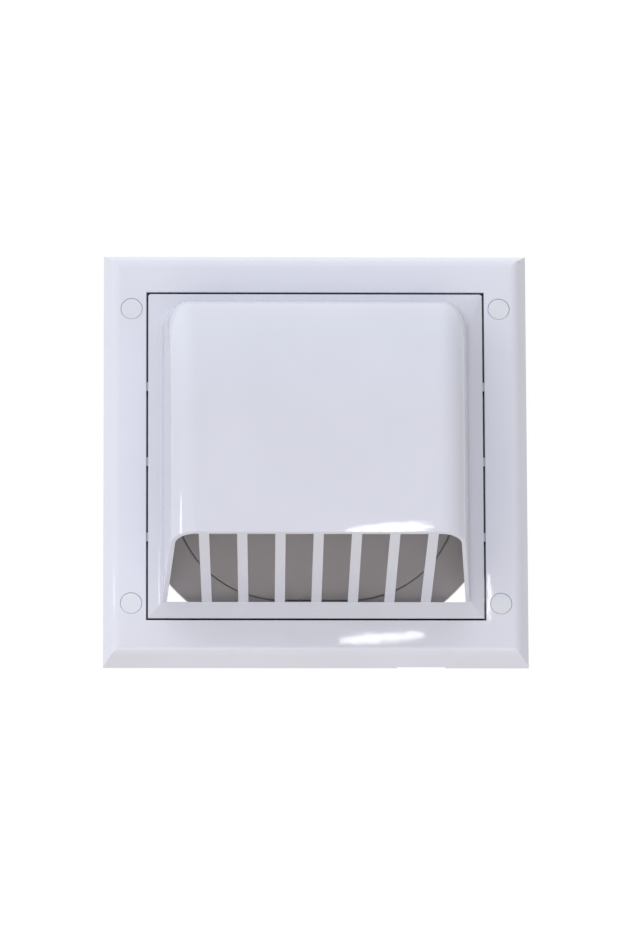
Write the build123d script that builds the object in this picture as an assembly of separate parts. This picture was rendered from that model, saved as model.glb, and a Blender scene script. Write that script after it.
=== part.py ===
from build123d import *
import math
import os

# Square wall vent with a snap-in hooded grille, a duct spigot and a backdraft flap. Millimetres.
# X runs to the right, Z runs up, and the wall is the plane Y = 0 with the front at negative Y.
# A depth is a distance from the wall towards the front, so it lies at Y = -depth.

# Duct spigot and its round plate: the duct's size drives the flap, the grille and the frame
SPIGOT_R = 61.75
SPIGOT_WALL = 2.25
SPIGOT_LENGTH = 42.0
SPIGOT_CHAMFER = 1.0
SEAT_LEDGE = 4.5
PLATE_FRONT = 4.6
PLATE_WALL = 2.2
PLATE_LAP = 11.2
HOOK_WIDTH = 12.0
HOOK_WALL = 1.8
HOOK_CATCH = 1.3
HOOK_BARB = 1.3
HOOK_CLEAR = 0.25

# Backdraft flap
FLAP_COVER = 8.4
FLAP_DROP = 1.4
FLAP_CORNER_R = 49.0
FLAP_THICKNESS = 1.8
FLAP_GAP = 0.7
FLAP_SEAT_GAP = 0.3
FLAP_CHAMFER = 0.3
HINGE_DROP = 6.8
HINGE_BARREL_R = 1.6
HINGE_PIN_R = 1.1
HINGE_PIN_CLEAR = 0.06
HINGE_PIN_LENGTH = 3.6
HINGE_LUG_R = 3.0
HINGE_LUG_LENGTH = 4.0
HINGE_END_GAP = 0.35
HINGE_SWEEP_GAP = 0.5
STIFFENER_WALL = 1.2
STIFFENER_HEIGHT = 2.2
STIFFENER_MARGIN = 4.0

# Hooded grille
INSERT_MARGIN = 11.6
INSERT_GAP = 0.8
INSERT_WALL = 2.0
INSERT_CORNER_R = 1.2
BAND_WIDTH = 6.6
BAND_RISE = 3.5
BAND_EDGE_R = 0.5
COVE_R = 4.0
HOOD_DEPTH = 80.0
HOOD_WALL = 1.8
HOOD_STRAIGHT = 3.2
HOOD_TAPER = 4.2
HOOD_TOP_SET = 7.1
HOOD_EDGE_R = 11.0
FRONT_HEIGHT = 53.6
FRONT_LEAN = 1.1
LIP_RISE = 16.2
BAR_COUNT = 7
BAR_PITCH = 16.25
BAR_FAN = 0.6
BAR_WIDTH = 4.5
BAR_THICKNESS = 1.6
BAR_CHAMFER = 0.4
BAR_ROOT = 1.6
NIB_COUNT = 3
NIB_PITCH = 34.8
NIB_CENTRE_Z = -2.6
NIB_LENGTH = 4.0
NIB_FRONT_SET = 1.2
NIB_HEIGHT = 2.4

# Wall frame
FRAME_BAND = 19.2
FRAME_DEPTH = 12.0
FRAME_WALL = 2.2
EDGE_LAND = 2.6
BEVEL_WIDTH = 4.6
SHOULDER_R = 4.4
EDGE_R = 2.0
WINDOW_EDGE_R = 0.4
LEDGE_WIDTH = 3.6
LEDGE_WALL = 1.5
RIB_WALL = 1.5
RIB_OFFSET = 50.0
WEEP_WIDTH = 21.6
WEEP_DEPTH = 2.0
WEEP_X = 47.0

# Screw bosses and caps
SCREW_DROP = 6.9
SCREW_HOLE_R = 2.25
CAP_R = 4.75
CAP_CLEAR = 0.15
CAP_HEIGHT = 5.2
CAP_TOP = 1.4
CAP_WALL = 0.7
CAP_CHAMFER = 0.25
BOSS_WALL = 1.4
BOSS_GAP = 0.4

# Values that follow from the sizes above: flap and hinge
SPIGOT_BORE_R = SPIGOT_R - SPIGOT_WALL
PORT_R = SPIGOT_BORE_R - SEAT_LEDGE
FLAP_HALF = PORT_R + FLAP_COVER
FLAP_BOTTOM = FLAP_HALF + FLAP_DROP
FLAP_BACK = PLATE_FRONT - FLAP_THICKNESS
RECESS_FLOOR = FLAP_BACK - FLAP_SEAT_GAP
HINGE_Z = FLAP_BOTTOM - HINGE_DROP
HINGE_DEPTH = PLATE_FRONT - HINGE_BARREL_R
HINGE_TRIM_Z = HINGE_Z - HINGE_LUG_R - HINGE_SWEEP_GAP
HINGE_REACH = FLAP_HALF - FLAP_CORNER_R + math.sqrt(FLAP_CORNER_R**2 - (FLAP_CORNER_R - HINGE_DROP) ** 2)
HINGE_HALF = HINGE_REACH - HINGE_BARREL_R
LUG_START = HINGE_HALF + HINGE_END_GAP

# Values that follow: frame, window and screws
INSERT_HALF = FLAP_HALF + INSERT_MARGIN
WINDOW_HALF = INSERT_HALF + INSERT_GAP
FRAME_HALF = WINDOW_HALF + FRAME_BAND
FRAME_SIZE = 2 * FRAME_HALF
PLATE_R = WINDOW_HALF + PLATE_LAP
LEDGE_FRONT = PLATE_FRONT + LEDGE_WALL
CAP_HOLE_R = CAP_R + CAP_CLEAR
BOSS_R = CAP_HOLE_R + BOSS_WALL
SCREW_X = WINDOW_HALF + BOSS_GAP + BOSS_R
SCREW_Z = INSERT_HALF - SCREW_DROP
SCREW_SEAT = FRAME_DEPTH - CAP_HEIGHT

# Values that follow: band and hood
BAND_SLOPE = BAND_RISE / BAND_WIDTH
BAND_SHEET = INSERT_WALL * math.hypot(1, BAND_SLOPE)
BASE_DEPTH = FRAME_DEPTH + BAND_RISE
CROWN_DEPTH = BASE_DEPTH + HOOD_STRAIGHT
HOOD_HALF = INSERT_HALF - BAND_WIDTH
HOOD_TOP = INSERT_HALF - HOOD_TOP_SET
SILL_Z = BAND_WIDTH - INSERT_HALF
LIP_Z = SILL_Z + LIP_RISE
CREST_Z = LIP_Z + FRONT_HEIGHT
FRONT_SLOPE = math.tan(math.radians(FRONT_LEAN))
LIP_DEPTH = HOOD_DEPTH - FRONT_HEIGHT * FRONT_SLOPE
SILL_SLOPE = math.atan2(LIP_RISE, LIP_DEPTH - BASE_DEPTH)


def front_plane(depth):
    """Plane parallel to the wall at a depth, drawn with X to the right and Z up, facing the front."""
    return Plane.XZ.offset(depth)


def slab(outline, start, end):
    """Outline drawn in X and Z, filled between two depths."""
    return extrude(front_plane(start) * outline, end - start)


def block(x0, x1, z0, z1, start, end):
    """Rectangular block given by its limits in X, Z and depth."""
    outline = Pos((x0 + x1) / 2, (z0 + z1) / 2) * Rectangle(x1 - x0, z1 - z0)
    return slab(outline, start, end)


def rod(x0, x1, depth, z, radius):
    """Round rod along X."""
    return extrude(Plane.YZ.offset(x0) * Pos(-depth, z) * Circle(radius), x1 - x0)


def mitred_ring(profile):
    """Square ring with mitred corners from a section drawn at the right-hand side."""
    reach = FRAME_SIZE
    bar = extrude(profile, reach, both=True)
    sector = make_face(Polyline((0, 0), (reach, reach), (reach, -reach), close=True))
    side = bar & extrude(Plane.XZ * sector, reach, both=True)
    ring = side
    for turn in (90, 180, 270):
        ring += Rot(0, turn, 0) * side
    return ring


def rounded_section(corners):
    """Section from (distance from centre, depth, corner radius) triples."""
    face = make_face(Polyline(*[(u, -d) for u, d, r in corners], close=True))
    for u, d, r in corners:
        if r:
            corner = face.vertices().sort_by_distance((u, -d, 0))[0]
            face = fillet(corner, r)
    return face


def frame_section():
    run = FRAME_DEPTH - EDGE_LAND
    length = math.hypot(run, BEVEL_WIDTH)
    lean = BEVEL_WIDTH / run
    inner_edge = FRAME_HALF - FRAME_WALL
    inner_face = FRAME_DEPTH - FRAME_WALL
    shift = FRAME_WALL * length / run
    inner_land = EDGE_LAND + (FRAME_HALF - shift - inner_edge) / lean
    inner_shoulder = FRAME_HALF - shift - (inner_face - EDGE_LAND) * lean
    well_outer = WINDOW_HALF + FRAME_WALL
    return rounded_section(
        [
            (FRAME_HALF, 0, 0),
            (FRAME_HALF, EDGE_LAND, EDGE_R),
            (FRAME_HALF - BEVEL_WIDTH, FRAME_DEPTH, SHOULDER_R),
            (WINDOW_HALF, FRAME_DEPTH, WINDOW_EDGE_R),
            (WINDOW_HALF, LEDGE_FRONT, 0),
            (WINDOW_HALF - LEDGE_WIDTH, LEDGE_FRONT, 0),
            (WINDOW_HALF - LEDGE_WIDTH, PLATE_FRONT, 0),
            (well_outer, PLATE_FRONT, 0),
            (well_outer, inner_face, 0),
            (inner_shoulder, inner_face, 0),
            (inner_edge, inner_land, 0),
            (inner_edge, 0, 0),
        ]
    )


def frame_rib():
    """Web behind the front face, from the well to the outer wall."""
    foot = PLATE_FRONT
    inner_face = FRAME_DEPTH - FRAME_WALL
    outer = FRAME_HALF - FRAME_WALL
    slope = BEVEL_WIDTH / (FRAME_DEPTH - EDGE_LAND)
    section = make_face(
        Polyline(
            (WINDOW_HALF + FRAME_WALL / 2, -foot),
            (WINDOW_HALF + FRAME_WALL / 2, -inner_face - FRAME_WALL / 2),
            (FRAME_HALF - BEVEL_WIDTH - FRAME_WALL / 2, -inner_face - FRAME_WALL / 2),
            (outer - (foot - EDGE_LAND) * slope, -foot),
            close=True,
        )
    )
    return extrude(section, RIB_WALL / 2, both=True)


def plate_hook():
    """Catch on the frame that holds the round plate's rim."""
    stem = PLATE_R + HOOK_CLEAR
    catch_top = PLATE_FRONT - PLATE_WALL - HOOK_CLEAR
    half = HOOK_WIDTH / 2
    post = block(stem, stem + HOOK_WALL, -half, half, catch_top - HOOK_BARB, FRAME_DEPTH - FRAME_WALL / 2)
    barb = block(stem - HOOK_CATCH, stem + HOOK_WALL, -half, half, catch_top - HOOK_BARB, catch_top)
    return post + barb


def make_frame():
    frame = mitred_ring(frame_section())
    for turn in (0, 90, 180, 270):
        side = Rot(0, turn, 0)
        frame += side * plate_hook()
        for z in (-RIB_OFFSET, RIB_OFFSET):
            frame += side * Pos(0, 0, z) * frame_rib()
    for x in (-SCREW_X, SCREW_X):
        for z in (-SCREW_Z, SCREW_Z):
            frame += slab(Pos(x, z) * Circle(BOSS_R), 0, FRAME_DEPTH - FRAME_WALL / 2)
    for x in (-SCREW_X, SCREW_X):
        for z in (-SCREW_Z, SCREW_Z):
            frame -= slab(Pos(x, z) * Circle(CAP_HOLE_R), SCREW_SEAT, FRAME_DEPTH + 1)
            frame -= slab(Pos(x, z) * Circle(SCREW_HOLE_R), -1, SCREW_SEAT)
    weep_half = WEEP_WIDTH / 2
    low_wall = FRAME_HALF - FRAME_WALL * 2
    frame -= block(WEEP_X - weep_half, WEEP_X + weep_half, -FRAME_HALF - 1, -low_wall, -1, WEEP_DEPTH)
    return frame


def make_cap(x, z):
    """Round plug that stands on the screw's seat and ends flush with the frame's face."""
    half_section = make_face(
        Polyline(
            (0, FRAME_DEPTH),
            (CAP_R, FRAME_DEPTH),
            (CAP_R, SCREW_SEAT),
            (CAP_R - CAP_WALL, SCREW_SEAT),
            (CAP_R - CAP_WALL, FRAME_DEPTH - CAP_TOP),
            (0, FRAME_DEPTH - CAP_TOP),
            close=True,
        )
    )
    rim = half_section.vertices().sort_by_distance((CAP_R, FRAME_DEPTH, 0))[0]
    half_section = chamfer(rim, CAP_CHAMFER)
    turned = revolve(half_section, Axis.Y)
    return Pos(x, 0, z) * Rot(180, 0, 0) * turned


def hood_body(inset):
    """Solid under the hood's outer surface moved in by inset, carried down far past the sill."""
    back = LEDGE_FRONT
    front = HOOD_DEPTH - inset
    top = HOOD_TOP - inset
    foot_front = front - (CREST_Z + FRAME_SIZE) * FRONT_SLOPE
    crown = EllipticalCenterArc(
        (-CROWN_DEPTH, CREST_Z), front - CROWN_DEPTH, top - CREST_Z, start_angle=90, arc_size=90
    )
    outline = [
        Line((-back, top), (-CROWN_DEPTH, top)),
        crown,
        Polyline((-front, CREST_Z), (-foot_front, -FRAME_SIZE), (-back, -FRAME_SIZE), (-back, top)),
    ]
    side_view = Plane.YZ.offset(-FRAME_SIZE) * make_face(outline)
    draft = HOOD_TAPER / (HOOD_DEPTH - BASE_DEPTH)
    side_inset = inset * math.hypot(1, draft)
    half_back = HOOD_HALF - side_inset + draft * (BASE_DEPTH - back)
    half_front = HOOD_HALF - side_inset - HOOD_TAPER
    plan = make_face(
        Polyline(
            (-half_back, -back),
            (-half_front, -HOOD_DEPTH),
            (half_front, -HOOD_DEPTH),
            (half_back, -back),
            close=True,
        )
    )
    body = extrude(side_view, 2 * FRAME_SIZE) & extrude(plan, 2 * FRAME_SIZE, both=True)
    shoulders = [
        edge
        for edge in body.edges()
        if abs(edge.center().X) > BAR_PITCH
        and edge.center().Z > HOOD_WALL - FRAME_SIZE
        and edge.center().Y < -back - HOOD_WALL / 2
    ]
    return fillet(shoulders, HOOD_EDGE_R - inset)


def grille_form(hood, half, start, brim, base):
    """Skirt, sloped band and hood in one solid, with the hood standing on the band at depth base."""
    far = 2 * FRAME_SIZE
    standing = hood & block(-far, far, -far, far, base, far)
    foot = standing.faces().sort_by(Axis.Y)[-1]
    square = make_face(
        Polyline((-half, -FRAME_SIZE), (half, -FRAME_SIZE), (half, half), (-half, half), close=True)
    )
    square = fillet(square.vertices().sort_by(Axis.Y)[-2:], INSERT_CORNER_R)
    band = loft([front_plane(brim) * square, foot], ruled=True)
    return slab(square, start, brim) + band + standing


def ring_edges(form, depth):
    """Edges that run round the form at one depth, without those at its foot."""
    return [
        edge
        for edge in form.edges()
        if abs(edge.bounding_box().min.Y + depth) < 0.001
        and abs(edge.bounding_box().max.Y + depth) < 0.001
        and edge.center().Z > HOOD_WALL - FRAME_SIZE
    ]


def above(corners):
    """Everything over a line of (depth, height, corner radius) points in the side view."""
    far = 2 * FRAME_SIZE
    ends = [(corners[-1][0], far, 0), (corners[0][0], far, 0)]
    section = rounded_section([(-d, -z, r) for d, z, r in corners + ends])
    return extrude(Plane.YZ.offset(-far) * section, 2 * far)


def grille_bar(step):
    """One bar from the sill to the lip, a number of pitches from the middle and fanned out with it."""
    along = (math.cos(SILL_SLOPE), math.sin(SILL_SLOPE))
    length = math.hypot(LIP_DEPTH - BASE_DEPTH, LIP_Z - SILL_Z)
    start = -BAR_ROOT
    end = length - HOOD_WALL / 2

    def at(run, rise):
        return (
            -(BASE_DEPTH + run * along[0] - rise * along[1]),
            SILL_Z + run * along[1] + rise * along[0],
        )

    section = make_face(
        Polyline(at(start, 0), at(end, 0), at(end, BAR_THICKNESS), at(start, BAR_THICKNESS), close=True)
    )
    bar = extrude(Plane.YZ * section, BAR_WIDTH / 2, both=True)
    lower = bar.faces().sort_by(Axis.Z)[0]
    long_edges = [edge for edge in lower.edges() if abs(edge.center().X) > BAR_WIDTH / 4]
    bar = chamfer(long_edges, BAR_CHAMFER)
    sill_axis = Axis((0, -BASE_DEPTH, SILL_Z), (0, along[1], along[0]))
    fan = math.degrees(math.atan2(step * BAR_FAN, length))
    return Pos(step * BAR_PITCH, 0, 0) * bar.rotate(sill_axis, fan)


def make_grille():
    far = 2 * FRAME_SIZE
    outer = grille_form(hood_body(0), INSERT_HALF, LEDGE_FRONT, FRAME_DEPTH, BASE_DEPTH)
    outer = fillet(ring_edges(outer, FRAME_DEPTH), BAND_EDGE_R)
    outer = fillet(ring_edges(outer, BASE_DEPTH), COVE_R)
    outer &= above(
        [
            (0, -INSERT_HALF, 0),
            (FRAME_DEPTH, -INSERT_HALF, BAND_EDGE_R),
            (BASE_DEPTH, SILL_Z, 0),
            (BASE_DEPTH + far, SILL_Z + far * math.tan(SILL_SLOPE), 0),
        ]
    )
    inner_half = INSERT_HALF - INSERT_WALL
    inner_brim = FRAME_DEPTH + INSERT_WALL * BAND_SLOPE - BAND_SHEET
    inner_base = FRAME_DEPTH + (BAND_WIDTH + HOOD_WALL) * BAND_SLOPE - BAND_SHEET
    inner = grille_form(hood_body(HOOD_WALL), inner_half, 0, inner_brim, inner_base)
    inner &= above(
        [
            (0, -inner_half, 0),
            (inner_brim, -inner_half, 0),
            (BASE_DEPTH - BAND_SHEET, SILL_Z, 0),
            (far, SILL_Z, 0),
        ]
    )
    grille = outer - inner
    for i in range(BAR_COUNT):
        grille += grille_bar(i - (BAR_COUNT - 1) / 2)
    nib_front = FRAME_DEPTH - NIB_FRONT_SET
    for i in range(NIB_COUNT):
        z = NIB_CENTRE_Z + (i - (NIB_COUNT - 1) / 2) * NIB_PITCH
        low = z - NIB_LENGTH / 2
        high = z + NIB_LENGTH / 2
        skin = INSERT_HALF - INSERT_WALL / 2
        grille += block(skin, WINDOW_HALF, low, high, nib_front - NIB_HEIGHT, nib_front)
        grille += block(-WINDOW_HALF, -skin, low, high, nib_front - NIB_HEIGHT, nib_front)
    return grille


def flap_outline(grow):
    """Rounded outline of the flap grown by a margin."""
    width = 2 * (FLAP_HALF + grow)
    height = 2 * (FLAP_BOTTOM + grow)
    return RectangleRounded(width, height, FLAP_CORNER_R + grow)


def below(z):
    """Everything in the drawing plane under a height."""
    return Pos(0, z - FRAME_SIZE) * Rectangle(2 * FRAME_SIZE, 2 * FRAME_SIZE)


def make_spigot():
    recess_top = HINGE_Z + HINGE_BARREL_R + FLAP_GAP
    recess = flap_outline(FLAP_GAP) & below(recess_top)
    cup = flap_outline(FLAP_GAP + PLATE_WALL) & below(recess_top + PLATE_WALL)
    body = slab(Circle(PLATE_R), PLATE_FRONT - PLATE_WALL, PLATE_FRONT)
    body += slab(cup, 0, PLATE_FRONT)
    body += slab(Circle(SPIGOT_R), -SPIGOT_LENGTH, RECESS_FLOOR)
    lead = [e for e in body.edges().filter_by(GeomType.CIRCLE) if e.center().Y > SPIGOT_LENGTH - 0.01]
    body = chamfer(lead, SPIGOT_CHAMFER)
    body -= slab(recess, RECESS_FLOOR, PLATE_FRONT + 1)
    body -= slab(Circle(PORT_R), -1, PLATE_FRONT)
    body -= slab(Circle(SPIGOT_BORE_R), -SPIGOT_LENGTH - 1, 0)
    groove_floor = HINGE_DEPTH - HINGE_BARREL_R - FLAP_SEAT_GAP
    groove_low = HINGE_Z - HINGE_BARREL_R - FLAP_GAP
    body -= block(-LUG_START, LUG_START, groove_low, recess_top, groove_floor, PLATE_FRONT)
    lug_end = LUG_START + HINGE_LUG_LENGTH
    for x0, x1 in ((LUG_START, lug_end), (-lug_end, -LUG_START)):
        lug = rod(x0, x1, HINGE_DEPTH, HINGE_Z, HINGE_LUG_R)
        lug += block(x0, x1, HINGE_Z - HINGE_LUG_R, HINGE_Z + HINGE_LUG_R, 0, HINGE_DEPTH)
        body += lug & block(x0, x1, HINGE_Z - FRAME_DEPTH, HINGE_Z + FRAME_DEPTH, 0, FRAME_DEPTH)
    body -= rod(-lug_end - 1, lug_end + 1, HINGE_DEPTH, HINGE_Z, HINGE_PIN_R + HINGE_PIN_CLEAR)
    return body


def make_flap():
    plate = slab(flap_outline(0) & below(HINGE_TRIM_Z), FLAP_BACK, PLATE_FRONT)
    rim = plate.faces().sort_by(Axis.Y)[0].edges()
    plate = chamfer(rim, FLAP_CHAMFER)
    plate += block(-HINGE_HALF, HINGE_HALF, HINGE_TRIM_Z - HINGE_BARREL_R, HINGE_Z, FLAP_BACK, PLATE_FRONT)
    plate += rod(-HINGE_HALF, HINGE_HALF, HINGE_DEPTH, HINGE_Z, HINGE_BARREL_R)
    pin_end = LUG_START + HINGE_PIN_LENGTH
    plate += rod(-pin_end, pin_end, HINGE_DEPTH, HINGE_Z, HINGE_PIN_R)
    ring_r = PORT_R - STIFFENER_MARGIN
    ribs_back = FLAP_BACK - STIFFENER_HEIGHT
    plate += slab(Circle(ring_r) - Circle(ring_r - STIFFENER_WALL), ribs_back, FLAP_BACK)
    span = 2 * ring_r - STIFFENER_WALL
    cross = Rectangle(span, STIFFENER_WALL) + Rectangle(STIFFENER_WALL, span)
    plate += slab(cross, ribs_back, FLAP_BACK)
    return plate


os.makedirs("parts", exist_ok=True)
export_step(make_frame(), "parts/wall_frame.step")
export_step(make_grille(), "parts/hood_grille.step")
export_step(make_spigot(), "parts/duct_spigot.step")
export_step(make_flap(), "parts/backdraft_flap.step")
for side, x in (("left", -SCREW_X), ("right", SCREW_X)):
    for level, z in (("bottom", -SCREW_Z), ("top", SCREW_Z)):
        export_step(make_cap(x, z), f"parts/screw_cap_{level}_{side}.step")
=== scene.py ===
import math

import bpy
from mathutils import Matrix, Vector

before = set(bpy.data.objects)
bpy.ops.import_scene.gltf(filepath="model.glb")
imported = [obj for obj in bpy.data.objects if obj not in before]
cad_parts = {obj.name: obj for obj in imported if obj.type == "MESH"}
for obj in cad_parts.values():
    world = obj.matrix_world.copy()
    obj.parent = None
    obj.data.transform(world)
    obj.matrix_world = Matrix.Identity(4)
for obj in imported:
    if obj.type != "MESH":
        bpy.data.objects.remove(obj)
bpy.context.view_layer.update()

# Sizes in metres, colours as linear values.
MM = 0.001
WHITE = (1.0, 1.0, 1.0)

# Camera: from below and a little from the left, far enough off to keep upright edges nearly parallel.
CAMERA_PLACE = Vector((-0.078, -4.0, -1.046))
CAMERA_AIM = Vector((-0.0021, 0.0, -0.0015))
CAMERA_ROLL = math.radians(-0.19)
CAMERA_REACH = 50.0
LENS = 356.2
SENSOR = 36.0

# Plastics: the colour of each, its roughness, and the depth of the slow waves in its surface.
FRAME_WHITE = (0.700, 0.722, 0.840)
FRAME_ROUGHNESS = 0.02
FRAME_WAVE = 0.011 * MM
# The hood is the frame's white plastic written darker: painted shade, set so that its lit face is not too
# light.
HOOD_SHADED_WHITE = (0.630, 0.652, 0.765)
HOOD_ROUGHNESS = 0.02
HOOD_WAVE = 0.012 * MM
CAP_WHITE = (0.695, 0.727, 0.810)
CAP_ROUGHNESS = 0.14
CAP_WAVE = 0.01 * MM
# Spigot and flap: the same white plastic written darker and warmer, painted shade and warm bounced light
# of the hollow behind the hood.
INNER_SHADED_WHITE = (0.590, 0.563, 0.573)
INNER_ROUGHNESS = 0.3
INNER_WAVE = 0.004 * MM
PLASTIC_IOR = 1.5

# Noise in every plastic: the span of its values that is used, then each pattern's scale, detail and reach.
NOISE_LOW = 0.3
NOISE_HIGH = 0.7
CLOUD_SCALE = 28.0
CLOUD_DETAIL = 3.0
CLOUD_SHARE = 0.015
POLISH_SCALE = 160.0
POLISH_DETAIL = 4.0
POLISH_SHARE = 0.05
WAVE_SCALE = 95.0
WAVE_DETAIL = 2.0
WAVE_STRENGTH = 1.0
SKIN_SCALE = 1400.0
SKIN_DETAIL = 2.0
SKIN_STRENGTH = 0.05
SKIN_DEPTH = 0.02 * MM

# Painted shade in the seam between the insert and the frame's window: the seam's two walls, its mouth and
# floor, and the dark colour painted there as shade.
SEAM_INNER = 74.95 * MM
SEAM_OUTER = 75.85 * MM
SEAM_BLUR = 0.1 * MM
SEAM_MOUTH = 11.6 * MM
SEAM_FLOOR = 9.0 * MM
SEAM_FADE = 0.4 * MM
PAINTED_SEAM_SHADE = (0.045, 0.045, 0.05)
# How much of that painted shade the run along the top gets: it is painted lighter there, where more
# bounced light reaches in.
TOP_RUN_SHADE_SHARE = 0.8
# How far a face may turn to the front and still count as a wall of the seam, fully and at all.
SEAM_WALL_FULL = 0.5
SEAM_WALL_END = 0.7

# Room light: its strength in front and behind, its shares from the left, the right and straight above,
# and how high a direction points where the light from above begins.
ROOM_FRONT = 1.11
ROOM_BACK = 0.8
LEFT_SHARE = 1.15
RIGHT_SHARE = 0.1
TOP_SHARE = 1.75
TOP_START = 0.3

# Background strength that renders as plain white.
BACKDROP_STRENGTH = 1.0

# Floor: its colour, its roughness, its height, and how far it reaches each way.
FLOOR_COLOUR = (0.77, 0.735, 0.685)
FLOOR_ROUGHNESS = 0.8
FLOOR_LEVEL = -0.85
FLOOR_REACH = 12.0

# Small strip lamp that the glossy front faces mirror, turned a little about its own line of sight.
STRIP_PLACE = (0.047, -0.687, 0.079)
STRIP_AIM = (0.03, 0.0, -0.08)
STRIP_SIZE = (0.045, 0.0048)
STRIP_TURN = math.radians(2.5)
STRIP_POWER = 0.006

# Narrow upright lamp that the frame mirrors beside the window, low on its right.
SLIT_PLACE = (0.1043, -0.712, 0.107)
SLIT_AIM = (0.083, 0.0, -0.06)
SLIT_SIZE = (0.0022, 0.026)
SLIT_POWER = 0.0018

# Lamp at the left, for the line of light on the hood's rounded edge above its lip.
SIDE_PLACE = (-1.21, -0.39, 0.228)
SIDE_AIM = (-0.09, 0.0, -0.02)
SIDE_SIZE = (0.25, 0.03)
SIDE_POWER = 0.11

# Broad fill from below and in front.
FILL_PLACE = (0.0, -1.05, -0.58)
FILL_AIM = (0.0, 0.0, -0.05)
FILL_SIZE = (1.2, 0.5)
FILL_POWER = 2.2
FILL_COLOUR = (1.0, 0.97, 0.92)


def opaque(colour, share=1.0):
    """A colour, or a share of it, with full alpha."""
    return (*[channel * share for channel in colour], 1.0)


def new_node(tree, kind, **settings):
    node = tree.nodes.new(kind)
    for name, value in settings.items():
        setattr(node, name, value)
    return node


def noise(tree, source, scale, detail):
    node = new_node(tree, "ShaderNodeTexNoise")
    node.inputs["Scale"].default_value = scale
    node.inputs["Detail"].default_value = detail
    tree.links.new(source, node.inputs["Vector"])
    return node.outputs["Fac"]


def ranged(tree, source, low, high, start=NOISE_LOW, end=NOISE_HIGH):
    """The source, from start to end, brought to the span from low to high and kept within it."""
    node = new_node(tree, "ShaderNodeMapRange")
    node.inputs["From Min"].default_value = start
    node.inputs["From Max"].default_value = end
    node.inputs["To Min"].default_value = low
    node.inputs["To Max"].default_value = high
    tree.links.new(source, node.inputs["Value"])
    return node.outputs["Result"]


def bump(tree, height, strength, distance, normal=None):
    node = new_node(tree, "ShaderNodeBump")
    node.inputs["Strength"].default_value = strength
    node.inputs["Distance"].default_value = distance
    tree.links.new(height, node.inputs["Height"])
    if normal is not None:
        tree.links.new(normal, node.inputs["Normal"])
    return node.outputs["Normal"]


def combined(tree, operation, first, second):
    node = new_node(tree, "ShaderNodeMath", operation=operation)
    tree.links.new(first, node.inputs[0])
    tree.links.new(second, node.inputs[1])
    return node.outputs["Value"]


def absolute(tree, source):
    node = new_node(tree, "ShaderNodeMath", operation="ABSOLUTE")
    tree.links.new(source, node.inputs[0])
    return node.outputs["Value"]


def components(tree, vector):
    node = new_node(tree, "ShaderNodeSeparateXYZ")
    tree.links.new(vector, node.inputs["Vector"])
    return node.outputs


def seam_shade_paint_mask(tree, place):
    """How much painted shade a point gets in the narrow seam round the insert, from 0 outside it to 1 deep
    in it, less along the top run.
    """
    spot = components(tree, place)
    reach = combined(tree, "MAXIMUM", absolute(tree, spot["X"]), absolute(tree, spot["Z"]))
    inside = ranged(tree, reach, 0.0, 1.0, SEAM_INNER - SEAM_BLUR, SEAM_INNER)
    outside = ranged(tree, reach, 1.0, 0.0, SEAM_OUTER, SEAM_OUTER + SEAM_BLUR)
    below = ranged(tree, spot["Y"], 0.0, 1.0, -SEAM_MOUTH, SEAM_FADE - SEAM_MOUTH)
    facing = components(tree, new_node(tree, "ShaderNodeNewGeometry").outputs["Normal"])
    wall = ranged(tree, absolute(tree, facing["Y"]), 1.0, 0.0, SEAM_WALL_FULL, SEAM_WALL_END)
    deep = ranged(tree, spot["Y"], 0.0, 1.0, -SEAM_FLOOR, SEAM_FADE - SEAM_FLOOR)
    ring = combined(tree, "MULTIPLY", inside, outside)
    shade = combined(tree, "MULTIPLY", below, combined(tree, "MAXIMUM", wall, deep))
    along_top = ranged(tree, spot["Z"], 1.0, TOP_RUN_SHADE_SHARE, SEAM_INNER - SEAM_BLUR, SEAM_INNER)
    return combined(tree, "MULTIPLY", combined(tree, "MULTIPLY", ring, shade), along_top)


def moulded_plastic(name, colour, roughness, wave, paint_seam_shade=False):
    """Glossy moulded plastic: slow sink waves, a fine skin, faint cloudiness and uneven polish, and, where
    asked, painted shade in the seam round the insert.
    """
    material = bpy.data.materials.new(name)
    material.use_nodes = True
    tree = material.node_tree
    shader = tree.nodes["Principled BSDF"]
    shader.inputs["IOR"].default_value = PLASTIC_IOR
    place = new_node(tree, "ShaderNodeTexCoord").outputs["Object"]

    cloud = noise(tree, place, CLOUD_SCALE, CLOUD_DETAIL)
    tint = new_node(tree, "ShaderNodeMix", data_type="RGBA")
    tint.inputs["A"].default_value = opaque(colour, 1 - CLOUD_SHARE)
    tint.inputs["B"].default_value = opaque(colour, 1 + CLOUD_SHARE)
    tree.links.new(ranged(tree, cloud, 0.0, 1.0), tint.inputs["Factor"])
    body_colour = tint.outputs["Result"]
    # Painted shade: the base colour is darkened deep in the seam between insert and frame.
    if paint_seam_shade:
        seam_shade_paint = new_node(tree, "ShaderNodeMix", data_type="RGBA")
        seam_shade_paint.inputs["B"].default_value = opaque(PAINTED_SEAM_SHADE)
        tree.links.new(seam_shade_paint_mask(tree, place), seam_shade_paint.inputs["Factor"])
        tree.links.new(body_colour, seam_shade_paint.inputs["A"])
        body_colour = seam_shade_paint.outputs["Result"]
    tree.links.new(body_colour, shader.inputs["Base Color"])

    polish = noise(tree, place, POLISH_SCALE, POLISH_DETAIL)
    smoothest = roughness * (1 - POLISH_SHARE)
    roughest = roughness * (1 + POLISH_SHARE)
    tree.links.new(ranged(tree, polish, smoothest, roughest), shader.inputs["Roughness"])

    waves = bump(tree, noise(tree, place, WAVE_SCALE, WAVE_DETAIL), WAVE_STRENGTH, wave)
    grain = noise(tree, place, SKIN_SCALE, SKIN_DETAIL)
    skin = bump(tree, grain, SKIN_STRENGTH, SKIN_DEPTH, waves)
    tree.links.new(skin, shader.inputs["Normal"])
    return material


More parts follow.
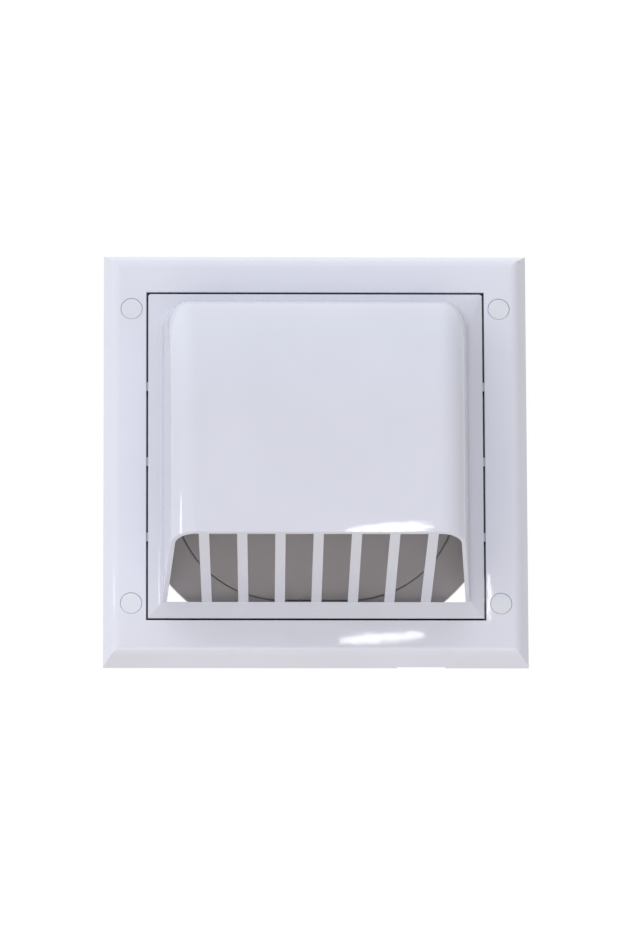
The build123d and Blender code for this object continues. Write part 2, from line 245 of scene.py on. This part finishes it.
def dress(material, *nodes):
    for node in nodes:
        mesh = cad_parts[node].data
        mesh.materials.clear()
        mesh.materials.append(material)


def turned_to(place, aim, turn):
    """Rotation of a lamp or camera that looks from place to aim, turned about its line of sight."""
    facing = (Vector(aim) - Vector(place)).to_track_quat("-Z", "Y").to_matrix().to_4x4()
    return (facing @ Matrix.Rotation(turn, 4, "Z")).to_euler()


def area_light(name, place, aim, size, power, turn=0.0, colour=WHITE):
    lamp = bpy.data.lights.new(name, "AREA")
    lamp.shape = "ELLIPSE"
    lamp.size, lamp.size_y = size
    lamp.energy = power
    lamp.color = colour
    holder = bpy.data.objects.new(name, lamp)
    holder.location = place
    holder.rotation_euler = turned_to(place, aim, turn)
    bpy.context.scene.collection.objects.link(holder)


def make_world():
    """Soft room light, weakest from the right, and a white background wherever it is seen or mirrored."""
    world = bpy.data.worlds.new("studio")
    bpy.context.scene.world = world
    world.use_nodes = True
    tree = world.node_tree
    tree.nodes.clear()

    direction = components(tree, new_node(tree, "ShaderNodeTexCoord").outputs["Generated"])
    front = ranged(tree, direction["Y"], ROOM_FRONT, ROOM_BACK, -1.0, 0.0)
    top = ranged(tree, direction["Z"], 1.0, TOP_SHARE, TOP_START, 1.0)
    left = ranged(tree, direction["X"], LEFT_SHARE, 1.0, -1.0, 0.0)
    right = ranged(tree, direction["X"], 1.0, RIGHT_SHARE, 0.0, 1.0)
    sides = combined(tree, "MULTIPLY", left, right)
    upright = combined(tree, "MULTIPLY", front, top)
    room = new_node(tree, "ShaderNodeBackground")
    room.inputs["Color"].default_value = opaque(WHITE)
    tree.links.new(combined(tree, "MULTIPLY", upright, sides), room.inputs["Strength"])

    backdrop = new_node(tree, "ShaderNodeBackground")
    backdrop.inputs["Color"].default_value = opaque(WHITE)
    backdrop.inputs["Strength"].default_value = BACKDROP_STRENGTH

    path = new_node(tree, "ShaderNodeLightPath").outputs
    mirrored = combined(tree, "MAXIMUM", path["Is Glossy Ray"], path["Is Transmission Ray"])
    mix = new_node(tree, "ShaderNodeMixShader")
    out = new_node(tree, "ShaderNodeOutputWorld")
    tree.links.new(combined(tree, "MAXIMUM", path["Is Camera Ray"], mirrored), mix.inputs["Fac"])
    tree.links.new(room.outputs["Background"], mix.inputs[1])
    tree.links.new(backdrop.outputs["Background"], mix.inputs[2])
    tree.links.new(mix.outputs["Shader"], out.inputs["Surface"])


def make_floor():
    """Pale floor under the part, clear where it is looked at from below."""
    mesh = bpy.data.meshes.new("floor")
    corners = [(x * FLOOR_REACH, y * FLOOR_REACH, 0) for x, y in ((-1, -1), (1, -1), (1, 1), (-1, 1))]
    mesh.from_pydata(corners, [], [(0, 1, 2, 3)])
    floor = bpy.data.objects.new("floor", mesh)
    floor.location.z = FLOOR_LEVEL
    bpy.context.scene.collection.objects.link(floor)

    material = bpy.data.materials.new("floor_paint")
    material.use_nodes = True
    tree = material.node_tree
    paint = tree.nodes["Principled BSDF"]
    paint.inputs["Base Color"].default_value = opaque(FLOOR_COLOUR)
    paint.inputs["Roughness"].default_value = FLOOR_ROUGHNESS
    clear = new_node(tree, "ShaderNodeBsdfTransparent")
    mix = new_node(tree, "ShaderNodeMixShader")
    underside = new_node(tree, "ShaderNodeNewGeometry").outputs["Backfacing"]
    tree.links.new(underside, mix.inputs["Fac"])
    tree.links.new(paint.outputs["BSDF"], mix.inputs[1])
    tree.links.new(clear.outputs["BSDF"], mix.inputs[2])
    tree.links.new(mix.outputs["Shader"], tree.nodes["Material Output"].inputs["Surface"])
    mesh.materials.append(material)


def make_camera():
    camera = bpy.data.cameras.new("camera")
    camera.lens = LENS
    camera.sensor_width = SENSOR
    camera.sensor_fit = "AUTO"
    camera.clip_end = CAMERA_REACH
    holder = bpy.data.objects.new("camera", camera)
    holder.location = CAMERA_PLACE
    holder.rotation_euler = turned_to(CAMERA_PLACE, CAMERA_AIM, CAMERA_ROLL)
    bpy.context.scene.collection.objects.link(holder)
    bpy.context.scene.camera = holder


# Frame and hood both carry painted shade in the seam between them.
dress(moulded_plastic("frame_gloss", FRAME_WHITE, FRAME_ROUGHNESS, FRAME_WAVE, paint_seam_shade=True), "wall_frame")
dress(moulded_plastic("hood_gloss", HOOD_SHADED_WHITE, HOOD_ROUGHNESS, HOOD_WAVE, paint_seam_shade=True), "hood_grille")
caps = [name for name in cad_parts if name.startswith("screw_cap")]
dress(moulded_plastic("cap_gloss", CAP_WHITE, CAP_ROUGHNESS, CAP_WAVE), *caps)
dress(moulded_plastic("spigot_gloss", INNER_SHADED_WHITE, INNER_ROUGHNESS, INNER_WAVE), "duct_spigot")
dress(moulded_plastic("flap_gloss", INNER_SHADED_WHITE, INNER_ROUGHNESS, INNER_WAVE), "backdraft_flap")

make_world()
make_floor()
make_camera()
area_light("strip", STRIP_PLACE, STRIP_AIM, STRIP_SIZE, STRIP_POWER, STRIP_TURN)
area_light("slit", SLIT_PLACE, SLIT_AIM, SLIT_SIZE, SLIT_POWER)
area_light("side", SIDE_PLACE, SIDE_AIM, SIDE_SIZE, SIDE_POWER)
area_light("fill", FILL_PLACE, FILL_AIM, FILL_SIZE, FILL_POWER, colour=FILL_COLOUR)

bpy.context.scene.view_settings.view_transform = "Standard"
